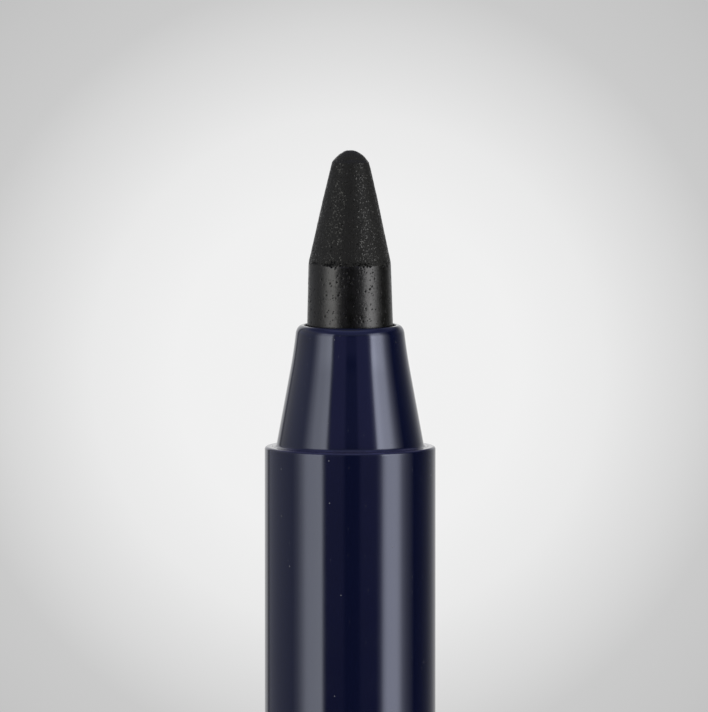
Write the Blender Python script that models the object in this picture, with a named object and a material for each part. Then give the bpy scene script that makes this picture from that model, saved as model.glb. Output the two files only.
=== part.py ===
# Retractable eyeliner pencil with a twist base, standing on its tail with the lead up.
# Units are metres and +Z is up. The origin is the centre of the tail's resting face.
# Every round piece is centred on the Z axis, which is also the twist axis and the lead's slide axis.
# The lead stands out of the nose as far as the photograph shows.

import math

import bmesh
import bpy
from mathutils import Vector

MM = 0.001

# Clearances
RUN_GAP = 0.10 * MM  # radial gap where one piece turns or slides in another
SEAT_GAP = 0.05 * MM  # gap left where one piece is seated on another
SEAM = 0.15 * MM  # visible joint between the barrel and the twist base
END_GAP = 0.30 * MM  # axial gap at each end of the lead's travel
OVERRUN = 1.00 * MM  # how far a cutter reaches past what it cuts
EMBED = 0.15 * MM  # how far a rib or pin is rooted in the wall that carries it

# Lead, measured from the photograph
LEAD_RADIUS = 2.24 * MM  # straight body at the mouth and below it
LEAD_DRAFT = 0.10 * MM  # radius lost from the mouth up to the foot of the cone
LEAD_COLLAR_HEIGHT = 3.27 * MM  # from the mouth to the foot of the cone
LEAD_CONE_HEIGHT = 5.33 * MM
LEAD_SHOULDER_RADIUS = 0.93 * MM  # where the cone meets the rounded tip
LEAD_DOME_HEIGHT = 0.60 * MM  # of the full round cap over that shoulder
LEAD_FLAT_RADIUS = 0.26 * MM  # worn flat on top of the cap
LEAD_ROOT_LENGTH = 3.60 * MM  # the stretch cast inside the cup
LEAD_LOCK_DEPTH = 0.15 * MM  # waist of the root, gripped by the cup's bead
LEAD_LOCK_LENGTH = 0.80 * MM

# Lead cup
CUP_WALL = 0.42 * MM  # around the root
CUP_FLOOR = 1.00 * MM
CUP_SOCKET_DEPTH = 3.40 * MM  # takes the push rod's spigot
CUP_BAND_HEIGHT = 0.08 * MM  # two bands centre the cup in the bore
CUP_BAND_LENGTH = 0.90 * MM
CUP_STOP_DEPTH = 1.40 * MM  # how far inside the mouth the cup stops

# Travel of the lead, and the helix that drives it
RETRACT_DEPTH = 1.00 * MM  # tip inside the mouth when fully retracted
FORWARD_TRAVEL = 12.00 * MM  # lead left to use beyond the photographed extension
HELIX_LEAD = 6.00 * MM  # travel for one turn of the base
HELIX_STARTS = 2

# Push rod
LUG_RADIUS = 0.50 * MM
LUG_END_GAP = 0.10 * MM  # lug's end to the groove's root
LUG_SIDE_GAP = 0.15 * MM  # lug's side to the groove's walls
SLOT_SIDE_GAP = 0.10 * MM  # lug's side to the guide slot's walls
BOSS_LENGTH = 2.60 * MM  # carries the lugs at mid height
ROD_RUN_GAP = 0.14 * MM  # boss, fins and disc to the guide tube's bore
ROD_CORE_RADIUS = 0.80 * MM
FIN_THICKNESS = 0.70 * MM
ROD_DISC_THICKNESS = 1.00 * MM
SPIGOT_RADIUS = 1.30 * MM
SPIGOT_LENGTH = 3.20 * MM

# Nose cone
NOSE_BORE_GAP = 0.18 * MM  # visible gap round the lead at the mouth
NOSE_HEIGHT = 6.41 * MM  # ledge to mouth
NOSE_MOUTH_WALL = 0.32 * MM
NOSE_RIM_ROUND = 0.20 * MM
NOSE_RIM_INNER_ROUND = 0.10 * MM
NOSE_SEAM = 0.10 * MM  # radial seam between the nose and the barrel's mouth
NOSE_SHANK_LENGTH = 12.00 * MM  # part inside the barrel
NOSE_SHANK_ROUND = 0.25 * MM
NOSE_SOCKET_ROOF = 4.00 * MM  # from the ledge down to the guide tube's socket
SNAP_HEIGHT = 0.15 * MM  # bead on the nose and groove in the barrel
SNAP_HALF_LENGTH = 0.50 * MM
SNAP_DEPTH_BELOW_LEDGE = 4.00 * MM

# Guide tube
GUIDE_WALL = 0.43 * MM
KEY_WIDTH = 0.80 * MM
KEY_HEIGHT = 0.30 * MM
KEY_LENGTH = 5.00 * MM
KEY_COUNT = 2

# Helix sleeve
GROOVE_DEPTH = 0.45 * MM
GROOVE_BACK_WALL = 0.25 * MM
GROOVE_END_RUN = 1.00 * MM  # groove left past the lug's centre, along the groove
SLEEVE_TOP_MARGIN = 1.00 * MM
SLEEVE_BARREL_GAP = 0.15 * MM

# Barrel
BARREL_WALL = 0.70 * MM
BARREL_LENGTH = 93.85 * MM
BARREL_SEAT_STEP = 0.15 * MM  # wider bore at both ends, for the nose and the collar
BARREL_MOUTH_ROUND = 0.16 * MM
BARREL_BORE_ROUND = 0.06 * MM
SHELL_END_ROUND = 0.10 * MM  # both edges beside the visible joint

# Bearing collar and brake ring
COLLAR_LENGTH = 3.00 * MM
COLLAR_ROUND = 0.12 * MM
BRAKE_RING_RADIUS = 0.27 * MM  # of the ring's own round section
BRAKE_GROOVE_DEPTH = 0.50 * MM
BRAKE_GAP = 0.03 * MM

# Base core
CORE_PLUG_GAP = 0.30 * MM  # core's foot above the end plug
CORE_TOP_RECESS = 0.20 * MM  # shoulder below the twist base's rim
CORE_FLANGE_LENGTH = 2.00 * MM  # full round stretch that rests on the twist base's ribs
CORE_BORE_RADIUS = 1.50 * MM
CORE_SKIRT_WALL = 1.20 * MM
CORE_ROOF = 3.60 * MM  # between the shoulder and the wide hollow below it
CORE_ROUND = 0.20 * MM
NECK_SPLINE_LENGTH = 2.50 * MM
NECK_SPLINE_WIDTH = 0.80 * MM
NECK_SPLINE_HEIGHT = 0.30 * MM
NECK_SPLINE_COUNT = 4

# Twist base
BASE_LENGTH = 18.00 * MM
BASE_WALL = 0.80 * MM
BASE_FLOOR = 1.60 * MM
BASE_TAIL_ROUND = 0.50 * MM
BASE_RIB_HEIGHT = 0.30 * MM
BASE_RIB_WIDTH = 0.80 * MM
BASE_RIB_COUNT = 6

# End plug
PLUG_HOLE_RADIUS = 3.00 * MM
PLUG_RECESS = 0.20 * MM
PLUG_LENGTH = 3.20 * MM
PLUG_WALL = 0.70 * MM
PLUG_FACE = 0.80 * MM
PLUG_ROUND = 0.15 * MM
PLUG_SNAP_HEIGHT = 0.14 * MM
PLUG_SNAP_LENGTH = 0.60 * MM

# Smoothness of round shapes
SHELL_SEGMENTS = 64
INNER_SEGMENTS = 36
SMALL_SEGMENTS = 12
ROUND_STEPS = 3
CHAMFER_STEPS = 1  # a fillet that stays out of sight is one flat chamfer
DOME_STEPS = 6
HELIX_STEPS_PER_TURN = 24
SHARP_ANGLE = math.radians(32)
MOST_ROUND_SHARE = 0.45  # a fillet takes at most this share of the shorter side beside it
WELD = 1e-7

# Radii, from the lead outwards
CUP_RADIUS = LEAD_RADIUS
ROOT_RADIUS = CUP_RADIUS - CUP_WALL - SEAT_GAP
BORE_RADIUS = LEAD_RADIUS + NOSE_BORE_GAP
GUIDE_RADIUS = BORE_RADIUS + GUIDE_WALL
SLEEVE_BORE = GUIDE_RADIUS + RUN_GAP
GROOVE_RADIUS = SLEEVE_BORE + GROOVE_DEPTH
SLEEVE_RADIUS = GROOVE_RADIUS + GROOVE_BACK_WALL
BARREL_BORE = SLEEVE_RADIUS + SLEEVE_BARREL_GAP
BARREL_SEAT_BORE = BARREL_BORE + BARREL_SEAT_STEP
BARREL_RADIUS = BARREL_BORE + BARREL_WALL
SHANK_RADIUS = BARREL_SEAT_BORE - NOSE_SEAM
SOCKET_RADIUS = GUIDE_RADIUS + SEAT_GAP
NECK_RADIUS = SLEEVE_BORE - SEAT_GAP
COLLAR_BORE = NECK_RADIUS + RUN_GAP
COLLAR_RADIUS = BARREL_SEAT_BORE - SEAT_GAP
BASE_BORE = BARREL_RADIUS - BASE_WALL
CORE_RADIUS = BASE_BORE - SEAT_GAP
ROD_RADIUS = BORE_RADIUS - ROD_RUN_GAP
LUG_REACH = GROOVE_RADIUS - LUG_END_GAP

# The lead's round cap is part of a sphere, cut off by the worn flat
DOME_SPHERE_RADIUS = (LEAD_SHOULDER_RADIUS**2 + LEAD_DOME_HEIGHT**2) / (2 * LEAD_DOME_HEIGHT)
DOME_SPHERE_DROP = DOME_SPHERE_RADIUS - LEAD_DOME_HEIGHT
TIP_HEIGHT = math.sqrt(DOME_SPHERE_RADIUS**2 - LEAD_FLAT_RADIUS**2) - DOME_SPHERE_DROP
LEAD_EXPOSED = LEAD_COLLAR_HEIGHT + LEAD_CONE_HEIGHT + TIP_HEIGHT
RETRACT_TRAVEL = LEAD_EXPOSED + RETRACT_DEPTH

# Heights above the tail's resting face
BARREL_FOOT = BASE_LENGTH + SEAM
LEDGE = BARREL_FOOT + BARREL_LENGTH
MOUTH = LEDGE + NOSE_HEIGHT
CUP_RIM = MOUTH - FORWARD_TRAVEL - CUP_STOP_DEPTH
CUP_LENGTH = LEAD_ROOT_LENGTH + SEAT_GAP + CUP_FLOOR + CUP_SOCKET_DEPTH
CUP_FOOT = CUP_RIM - CUP_LENGTH
NOSE_FOOT = LEDGE - NOSE_SHANK_LENGTH
NOSE_SOCKET_DEPTH = NOSE_SHANK_LENGTH - NOSE_SOCKET_ROOF
COLLAR_FOOT = BARREL_FOOT
SLEEVE_FOOT = COLLAR_FOOT + COLLAR_LENGTH + RUN_GAP
NECK_TOP = SLEEVE_FOOT + NECK_SPLINE_LENGTH
CORE_SHOULDER = BASE_LENGTH - CORE_TOP_RECESS
CORE_FOOT = PLUG_RECESS + PLUG_LENGTH + CORE_PLUG_GAP
GUIDE_FOOT = NECK_TOP + END_GAP
GUIDE_LENGTH = NOSE_FOOT + NOSE_SOCKET_DEPTH - SEAT_GAP - GUIDE_FOOT
LUG_LOWEST = NECK_TOP + END_GAP + BOSS_LENGTH / 2
LUG_HEIGHT = LUG_LOWEST + RETRACT_TRAVEL
LUG_HIGHEST = LUG_HEIGHT + FORWARD_TRAVEL
ROD_FOOT = LUG_HEIGHT - BOSS_LENGTH / 2
SLEEVE_LENGTH = LUG_HIGHEST + LUG_RADIUS + SLEEVE_TOP_MARGIN - SLEEVE_FOOT


def clear_scene():
    for obj in list(bpy.data.objects):
        bpy.data.objects.remove(obj, do_unlink=True)


def material(name, colour, roughness, metallic=0.0):
    made = bpy.data.materials.new(name)
    made.use_nodes = True
    shader = made.node_tree.nodes["Principled BSDF"]
    shader.inputs["Base Color"].default_value = (*colour, 1.0)
    shader.inputs["Roughness"].default_value = roughness
    shader.inputs["Metallic"].default_value = metallic
    return made


def add_object(name, bm, finish=None):
    """Links a bmesh as a named object, shaded smooth with crisp edges."""
    bmesh.ops.remove_doubles(bm, verts=bm.verts, dist=WELD)
    bmesh.ops.recalc_face_normals(bm, faces=bm.faces)
    if bm.calc_volume(signed=True) < 0:
        bmesh.ops.reverse_faces(bm, faces=bm.faces)
    mesh = bpy.data.meshes.new(name)
    bm.to_mesh(mesh)
    bm.free()
    mesh.shade_smooth()
    mesh.set_sharp_from_angle(angle=SHARP_ANGLE)
    obj = bpy.data.objects.new(name, mesh)
    bpy.context.scene.collection.objects.link(obj)
    if finish:
        mesh.materials.append(finish)
    return obj


def place(obj, parent, height):
    """Parents a piece to its frame empty, with its foot at that height."""
    obj.parent = parent
    obj.location = (0, 0, height - parent.location.z)
    return obj


def helper(obj, target):
    """Hides a cutter or a shape to join, and carries it with the piece that it shapes."""
    obj.hide_render = True
    obj.display_type = "WIRE"
    obj.parent = target
    return obj


def boolean(target, tool, operation):
    modifier = target.modifiers.new(tool.name, "BOOLEAN")
    modifier.object = helper(tool, target)
    modifier.operation = operation
    modifier.solver = "EXACT"


def rounded(corners, steps=ROUND_STEPS):
    """Outline points from corners given as (radius, height, fillet). An arc replaces each filleted corner."""
    points = []
    for i, (r, z, fillet) in enumerate(corners):
        corner = Vector((r, z))
        if not fillet:
            points.append(corner)
            continue
        back = Vector(corners[i - 1][:2]) - corner
        ahead = Vector(corners[(i + 1) % len(corners)][:2]) - corner
        half = back.angle(ahead) / 2
        reach = min(fillet / math.tan(half), MOST_ROUND_SHARE * min(back.length, ahead.length))
        centre = corner + (back.normalized() + ahead.normalized()).normalized() * (reach / math.cos(half))
        start = corner + back.normalized() * reach - centre
        end = corner + ahead.normalized() * reach - centre
        points += [centre + start.slerp(end, k / steps) * start.length for k in range(steps + 1)]
    return points


def turned(outline, segments):
    """A solid of revolution about Z. Its outline in (radius, height) ends on the axis or closes in a ring."""
    bm = bmesh.new()
    verts = [bm.verts.new((p[0], 0, p[1])) for p in outline]
    on_axis = outline[0][0] == 0 and outline[-1][0] == 0
    pairs = list(zip(verts, verts[1:]))
    if not on_axis:
        pairs.append((verts[-1], verts[0]))
    edges = [bm.edges.new(pair) for pair in pairs]
    bmesh.ops.spin(
        bm,
        geom=verts + edges,
        cent=(0, 0, 0),
        axis=(0, 0, 1),
        angle=math.tau,
        steps=segments,
        use_merge=True,
    )
    return bm


def prism(outline, place_point, low, high):
    """A straight prism between two levels. place_point turns (a, b, level) into a point."""
    bm = bmesh.new()
    rings = [[bm.verts.new(place_point(a, b, level)) for a, b in outline] for level in (low, high)]
    for ring in rings:
        bm.faces.new(ring)
    count = len(outline)
    for i in range(count):
        j = (i + 1) % count
        bm.faces.new((rings[0][i], rings[0][j], rings[1][j], rings[1][i]))
    return bm


def radial_bars(count, inner, outer, width, low, high, phase=0.0):
    """Straight bars spaced evenly round Z, each reaching from an inner to an outer radius."""
    bm = bmesh.new()
    for k in range(count):
        angle = phase + k * math.tau / count
        along = Vector((math.cos(angle), math.sin(angle), 0))
        across = Vector((-along.y, along.x, 0)) * (width / 2)
        near, far = along * inner, along * outer
        corners = [near - across, far - across, far + across, near + across]
        rings = [[bm.verts.new((c.x, c.y, z)) for c in corners] for z in (low, high)]
        for ring in rings:
            bm.faces.new(ring)
        for i in range(4):
            j = (i + 1) % 4
            bm.faces.new((rings[0][i], rings[0][j], rings[1][j], rings[1][i]))
    return bm


def helical_bar(inner, outer, half_height, through, start_angle, low, high):
    """A left-handed helical bar whose centre line passes the given height at start_angle."""
    bm = bmesh.new()
    steps = math.ceil((high - low) / HELIX_LEAD * HELIX_STEPS_PER_TURN)
    rings = []
    for i in range(steps + 1):
        z = low + (high - low) * i / steps
        angle = start_angle - math.tau * (z - through) / HELIX_LEAD
        section = [(inner, -half_height), (outer, -half_height), (outer, half_height), (inner, half_height)]
        rings.append([bm.verts.new((r * math.cos(angle), r * math.sin(angle), z + dz)) for r, dz in section])
    bm.faces.new(rings[0])
    bm.faces.new(rings[-1])
    for ring, after in zip(rings, rings[1:]):
        for i in range(4):
            j = (i + 1) % 4
            bm.faces.new((ring[i], ring[j], after[j], after[i]))
    return bm


def band(radius, proud, centre, half_length):
    """Three corners of a raised or sunken band round a wall, written from low to high."""
    return [
        (radius, centre - half_length, 0),
        (radius + proud, centre, 0),
        (radius, centre + half_length, 0),
    ]


def build_lead(finish):
    """Cosmetic lead: root cast in the cup, straight body, drafted collar, cone and worn round tip."""
    shoulder = LEAD_ROOT_LENGTH + SEAT_GAP
    foot = CUP_RIM + SEAT_GAP - shoulder
    collar_foot = MOUTH - foot
    cone_foot = collar_foot + LEAD_COLLAR_HEIGHT
    cone_top = cone_foot + LEAD_CONE_HEIGHT
    lock_foot = (LEAD_ROOT_LENGTH - LEAD_LOCK_LENGTH) / 2
    waist = ROOT_RADIUS - LEAD_LOCK_DEPTH
    outline = [
        (0, 0),
        (ROOT_RADIUS, 0),
        (ROOT_RADIUS, lock_foot),
        (waist, lock_foot + LEAD_LOCK_DEPTH),
        (waist, lock_foot + LEAD_LOCK_LENGTH - LEAD_LOCK_DEPTH),
        (ROOT_RADIUS, lock_foot + LEAD_LOCK_LENGTH),
        (ROOT_RADIUS, shoulder),
        (LEAD_RADIUS, shoulder),
        (LEAD_RADIUS, collar_foot),
        (LEAD_RADIUS - LEAD_DRAFT, cone_foot),
    ]
    widest = math.asin(LEAD_SHOULDER_RADIUS / DOME_SPHERE_RADIUS)
    narrowest = math.asin(LEAD_FLAT_RADIUS / DOME_SPHERE_RADIUS)
    for k in range(DOME_STEPS + 1):
        angle = widest + (narrowest - widest) * k / DOME_STEPS
        height = cone_top - DOME_SPHERE_DROP + DOME_SPHERE_RADIUS * math.cos(angle)
        outline.append((DOME_SPHERE_RADIUS * math.sin(angle), height))
    outline.append((0, cone_top + TIP_HEIGHT))
    return add_object("lead", turned(outline, SHELL_SEGMENTS), finish), foot


def build_lead_cup(finish):
    """Cup that grips the lead's root above and plugs on the push rod below."""
    root_bore = ROOT_RADIUS + SEAT_GAP
    spigot_bore = SPIGOT_RADIUS + SEAT_GAP
    floor_top = CUP_SOCKET_DEPTH + CUP_FLOOR
    lock_middle = floor_top + SEAT_GAP + LEAD_ROOT_LENGTH / 2
    lock_half = LEAD_LOCK_LENGTH / 2 - SEAT_GAP
    band_half = CUP_BAND_LENGTH / 2
    outline = [(spigot_bore, 0, 0), (CUP_RADIUS, 0, 0)]
    for centre in (CUP_BAND_LENGTH, CUP_LENGTH - CUP_BAND_LENGTH):
        outline += band(CUP_RADIUS, CUP_BAND_HEIGHT, centre, band_half)
    outline += [(CUP_RADIUS, CUP_LENGTH, 0), (root_bore, CUP_LENGTH, 0)]
    outline += [
        (root_bore, lock_middle + lock_half, 0),
        (root_bore - LEAD_LOCK_DEPTH + SEAT_GAP, lock_middle, 0),
        (root_bore, lock_middle - lock_half, 0),
    ]
    outline += [(root_bore, floor_top, 0), (0, floor_top, 0), (0, CUP_SOCKET_DEPTH, 0)]
    outline += [(spigot_bore, CUP_SOCKET_DEPTH, 0)]
    # The outline starts and ends off the axis, so it is turned from the floor's two axis points.
    start = outline.index((0, CUP_SOCKET_DEPTH, 0))
    ordered = outline[start:] + outline[:start]
    return add_object("lead_cup", turned([c[:2] for c in ordered], INNER_SEGMENTS), finish)


def build_push_rod(finish):
    """Cross-ribbed rod with a lugged boss at its foot and a spigot for the cup."""
    disc_top = CUP_FOOT - SEAT_GAP - ROD_FOOT
    disc_foot = disc_top - ROD_DISC_THICKNESS
    core = [
        (0, 0),
        (ROD_RADIUS, 0),
        (ROD_RADIUS, BOSS_LENGTH),
        (ROD_CORE_RADIUS, BOSS_LENGTH),
        (ROD_CORE_RADIUS, disc_foot),
        (ROD_RADIUS, disc_foot),
        (ROD_RADIUS, disc_top),
        (SPIGOT_RADIUS, disc_top),
        (SPIGOT_RADIUS, disc_top + SPIGOT_LENGTH),
        (0, disc_top + SPIGOT_LENGTH),
    ]
    rod = add_object("push_rod", turned(core, INNER_SEGMENTS), finish)
    half = FIN_THICKNESS / 2
    tip = ROD_RADIUS - SEAT_GAP
    cross = [(half, half), (tip, half), (tip, -half), (half, -half), (half, -tip), (-half, -tip)]
    cross += [(-half, -half), (-tip, -half), (-tip, half), (-half, half), (-half, tip), (half, tip)]
    fins = prism(cross, lambda a, b, z: (a, b, z), BOSS_LENGTH - EMBED, disc_foot + EMBED)
    boolean(rod, add_object("push_rod_fins", fins), "UNION")
    circle = [math.tau * k / SMALL_SEGMENTS for k in range(SMALL_SEGMENTS)]
    ring = [(LUG_RADIUS * math.cos(t), BOSS_LENGTH / 2 + LUG_RADIUS * math.sin(t)) for t in circle]
    lugs = prism(ring, lambda a, b, x: (x, a, b), -LUG_REACH, LUG_REACH)
    boolean(rod, add_object("push_rod_lugs", lugs), "UNION")
    return rod


def build_nose_cone(finish):
    """Tapered nose with a rounded mouth. Its shank snaps in the barrel and has a socket for the guide."""
    top = NOSE_SHANK_LENGTH + NOSE_HEIGHT
    snap = NOSE_SHANK_LENGTH - SNAP_DEPTH_BELOW_LEDGE
    corners = [(SOCKET_RADIUS, 0, 0), (SHANK_RADIUS, 0, NOSE_SHANK_ROUND)]
    corners += band(SHANK_RADIUS, SNAP_HEIGHT, snap, SNAP_HALF_LENGTH)
    corners += [
        (SHANK_RADIUS, NOSE_SHANK_LENGTH, 0),
        (BORE_RADIUS + NOSE_MOUTH_WALL, top, NOSE_RIM_ROUND),
        (BORE_RADIUS, top, NOSE_RIM_INNER_ROUND),
        (BORE_RADIUS, NOSE_SOCKET_DEPTH, 0),
        (SOCKET_RADIUS, NOSE_SOCKET_DEPTH, 0),
    ]
    nose = add_object("nose_cone", turned(rounded(corners), SHELL_SEGMENTS), finish)
    keyways = radial_bars(
        KEY_COUNT,
        BORE_RADIUS,
        SOCKET_RADIUS + KEY_HEIGHT,
        KEY_WIDTH + 2 * SEAT_GAP,
        -OVERRUN,
        KEY_LENGTH + SEAT_GAP,
        phase=math.pi / 2,
    )
    boolean(nose, add_object("nose_keyways", keyways), "DIFFERENCE")
    return nose


def build_guide_tube(finish):
    """Tube fixed in the nose, with two slots open at the foot that keep the lugs from turning."""
    outline = [(BORE_RADIUS, 0), (GUIDE_RADIUS, 0), (GUIDE_RADIUS, GUIDE_LENGTH), (BORE_RADIUS, GUIDE_LENGTH)]
    tube = add_object("guide_tube", turned(outline, INNER_SEGMENTS), finish)
    key_foot = NOSE_FOOT - GUIDE_FOOT + SEAT_GAP
    keys = radial_bars(
        KEY_COUNT,
        GUIDE_RADIUS - EMBED,
        GUIDE_RADIUS + KEY_HEIGHT,
        KEY_WIDTH,
        key_foot,
        key_foot + KEY_LENGTH - SEAT_GAP,
        phase=math.pi / 2,
    )
    boolean(tube, add_object("guide_keys", keys), "UNION")
    half = LUG_RADIUS + SLOT_SIDE_GAP
    arch = LUG_HIGHEST - GUIDE_FOOT
    turns = [math.pi * k / (SMALL_SEGMENTS // 2) for k in range(SMALL_SEGMENTS // 2 + 1)]
    slot = [(half * math.cos(t), arch + half * math.sin(t)) for t in turns]
    slot += [(-half, -OVERRUN), (half, -OVERRUN)]
    reach = GUIDE_RADIUS + OVERRUN
    cutter = prism(slot, lambda a, b, x: (x, a, b), -reach, reach)
    boolean(tube, add_object("guide_slots", cutter), "DIFFERENCE")
    return tube


def build_helix_sleeve(finish):
    """Sleeve that turns with the base. Two helical grooves in its bore carry the push rod's lugs."""
    outline = [
        (SLEEVE_BORE, 0),
        (SLEEVE_RADIUS, 0),
        (SLEEVE_RADIUS, SLEEVE_LENGTH),
        (SLEEVE_BORE, SLEEVE_LENGTH),
    ]
    sleeve = add_object("helix_sleeve", turned(outline, INNER_SEGMENTS), finish)
    ribs = radial_bars(
        NECK_SPLINE_COUNT,
        NECK_RADIUS - NECK_SPLINE_HEIGHT + SEAT_GAP,
        SLEEVE_BORE + EMBED,
        NECK_SPLINE_WIDTH - 2 * SEAT_GAP,
        0,
        NECK_SPLINE_LENGTH - SEAT_GAP,
        phase=math.pi / NECK_SPLINE_COUNT,
    )
    boolean(sleeve, add_object("helix_ribs", ribs), "UNION")
    slope = math.atan(HELIX_LEAD / (math.tau * SLEEVE_BORE))
    half_height = (LUG_RADIUS + LUG_SIDE_GAP) / math.cos(slope)
    end_drop = GROOVE_END_RUN * HELIX_LEAD / (math.tau * SLEEVE_BORE)
    for k in range(HELIX_STARTS):
        bar = helical_bar(
            SLEEVE_BORE - EMBED,
            GROOVE_RADIUS,
            half_height,
            LUG_HEIGHT - SLEEVE_FOOT,
            k * math.tau / HELIX_STARTS,
            LUG_LOWEST - end_drop - SLEEVE_FOOT,
            SLEEVE_LENGTH + OVERRUN,
        )
        boolean(sleeve, add_object(f"helix_groove_{k + 1}", bar), "DIFFERENCE")
    return sleeve


def build_barrel(finish):
    """Outer tube with a flat ledge round the nose, and a wider bore at each end."""
    nose_seat = BARREL_LENGTH - NOSE_SHANK_LENGTH - SEAT_GAP
    collar_seat = COLLAR_LENGTH + SEAT_GAP
    snap = BARREL_LENGTH - SNAP_DEPTH_BELOW_LEDGE
    corners = [
        (BARREL_SEAT_BORE, 0, 0),
        (BARREL_RADIUS, 0, SHELL_END_ROUND),
        (BARREL_RADIUS, BARREL_LENGTH, BARREL_MOUTH_ROUND),
        (BARREL_SEAT_BORE, BARREL_LENGTH, BARREL_BORE_ROUND),
    ]
    corners += reversed(band(BARREL_SEAT_BORE, SNAP_HEIGHT, snap, SNAP_HALF_LENGTH + NOSE_SEAM))
    corners += [
        (BARREL_SEAT_BORE, nose_seat, 0),
        (BARREL_BORE, nose_seat, 0),
        (BARREL_BORE, collar_seat, 0),
        (BARREL_SEAT_BORE, collar_seat, 0),
    ]
    return add_object("barrel", turned(rounded(corners), SHELL_SEGMENTS), finish)


def build_bearing_collar(finish):
    """Ring fixed in the barrel's foot, in which the base core's neck turns."""
    corners = [
        (COLLAR_BORE, 0, COLLAR_ROUND),
        (COLLAR_RADIUS, 0, COLLAR_ROUND),
        (COLLAR_RADIUS, COLLAR_LENGTH, COLLAR_ROUND),
        (COLLAR_BORE, COLLAR_LENGTH, COLLAR_ROUND),
    ]
    return add_object("bearing_collar", turned(rounded(corners, CHAMFER_STEPS), INNER_SEGMENTS), finish)


def build_base_core(finish):
    """Core in the twist base. Its neck carries the brake ring and drives the helix sleeve."""
    top = NECK_TOP - CORE_FOOT
    shoulder = CORE_SHOULDER - CORE_FOOT
    brake = COLLAR_FOOT + COLLAR_LENGTH / 2 - CORE_FOOT
    brake_half = BRAKE_RING_RADIUS + BRAKE_GAP
    skirt_bore = CORE_RADIUS - CORE_SKIRT_WALL
    corners = [
        (skirt_bore, 0, 0),
        (CORE_RADIUS, 0, CORE_ROUND),
        (CORE_RADIUS, shoulder, CORE_ROUND),
        (NECK_RADIUS, shoulder, 0),
        (NECK_RADIUS, brake - brake_half, 0),
        (NECK_RADIUS - BRAKE_GROOVE_DEPTH, brake - brake_half, 0),
        (NECK_RADIUS - BRAKE_GROOVE_DEPTH, brake + brake_half, 0),
        (NECK_RADIUS, brake + brake_half, 0),
        (NECK_RADIUS, top, 0),
        (CORE_BORE_RADIUS, top, 0),
        (CORE_BORE_RADIUS, shoulder - CORE_ROOF, 0),
        (skirt_bore, shoulder - CORE_ROOF, 0),
    ]
    core = add_object("base_core", turned(rounded(corners, CHAMFER_STEPS), INNER_SEGMENTS), finish)
    rib_ways = radial_bars(
        BASE_RIB_COUNT,
        CORE_RADIUS - BASE_RIB_HEIGHT,
        CORE_RADIUS + OVERRUN,
        BASE_RIB_WIDTH + 2 * SEAT_GAP,
        -OVERRUN,
        shoulder - CORE_FLANGE_LENGTH,
    )
    boolean(core, add_object("core_rib_ways", rib_ways), "DIFFERENCE")
    splines = radial_bars(
        NECK_SPLINE_COUNT,
        NECK_RADIUS - NECK_SPLINE_HEIGHT,
        NECK_RADIUS + OVERRUN,
        NECK_SPLINE_WIDTH,
        SLEEVE_FOOT - SEAT_GAP - CORE_FOOT,
        top + OVERRUN,
        phase=math.pi / NECK_SPLINE_COUNT,
    )
    boolean(core, add_object("core_spline_ways", splines), "DIFFERENCE")
    return core


def build_brake_ring(finish):
    """Rubber ring that drags on the collar, so the lead stays where it is set."""
    middle = NECK_RADIUS - BRAKE_GROOVE_DEPTH + BRAKE_GAP + BRAKE_RING_RADIUS
    turns = [math.tau * k / SMALL_SEGMENTS for k in range(SMALL_SEGMENTS)]
    outline = [
        (middle + BRAKE_RING_RADIUS * math.cos(t), BRAKE_RING_RADIUS * (1 + math.sin(t))) for t in turns
    ]
    return add_object("brake_ring", turned(outline, INNER_SEGMENTS), finish)


def build_twist_base(finish):
    """Outer shell of the turning tail. Its ribs lock it to the core, and its floor takes the end plug."""
    corners = [
        (PLUG_HOLE_RADIUS, 0, 0),
        (BARREL_RADIUS, 0, BASE_TAIL_ROUND),
        (BARREL_RADIUS, BASE_LENGTH, SHELL_END_ROUND),
        (BASE_BORE, BASE_LENGTH, 0),
        (BASE_BORE, BASE_FLOOR, 0),
        (PLUG_HOLE_RADIUS, BASE_FLOOR, 0),
    ]
    base = add_object("twist_base", turned(rounded(corners), SHELL_SEGMENTS), finish)
    ribs = radial_bars(
        BASE_RIB_COUNT,
        BASE_BORE - BASE_RIB_HEIGHT,
        BASE_BORE + EMBED,
        BASE_RIB_WIDTH,
        BASE_FLOOR - EMBED,
        CORE_SHOULDER - CORE_FLANGE_LENGTH - SEAT_GAP,
    )
    boolean(base, add_object("base_ribs", ribs), "UNION")
    return base


def build_end_plug(finish):
    """Plug that closes the tail, held by a snap bead inside the floor."""
    plug_radius = PLUG_HOLE_RADIUS - SEAT_GAP
    bead = BASE_FLOOR - PLUG_RECESS + SEAT_GAP
    corners = [
        (0, 0, 0),
        (plug_radius, 0, PLUG_ROUND),
        (plug_radius, bead, 0),
        (PLUG_HOLE_RADIUS + PLUG_SNAP_HEIGHT, bead, 0),
        (plug_radius, bead + PLUG_SNAP_LENGTH, 0),
        (plug_radius, PLUG_LENGTH, 0),
        (plug_radius - PLUG_WALL, PLUG_LENGTH, 0),
        (plug_radius - PLUG_WALL, PLUG_FACE, 0),
        (0, PLUG_FACE, 0),
    ]
    return add_object("end_plug", turned(rounded(corners), INNER_SEGMENTS), finish)


def frame_empty(name, height):
    empty = bpy.data.objects.new(name, None)
    empty.location = (0, 0, height)
    bpy.context.scene.collection.objects.link(empty)
    return empty


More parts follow.
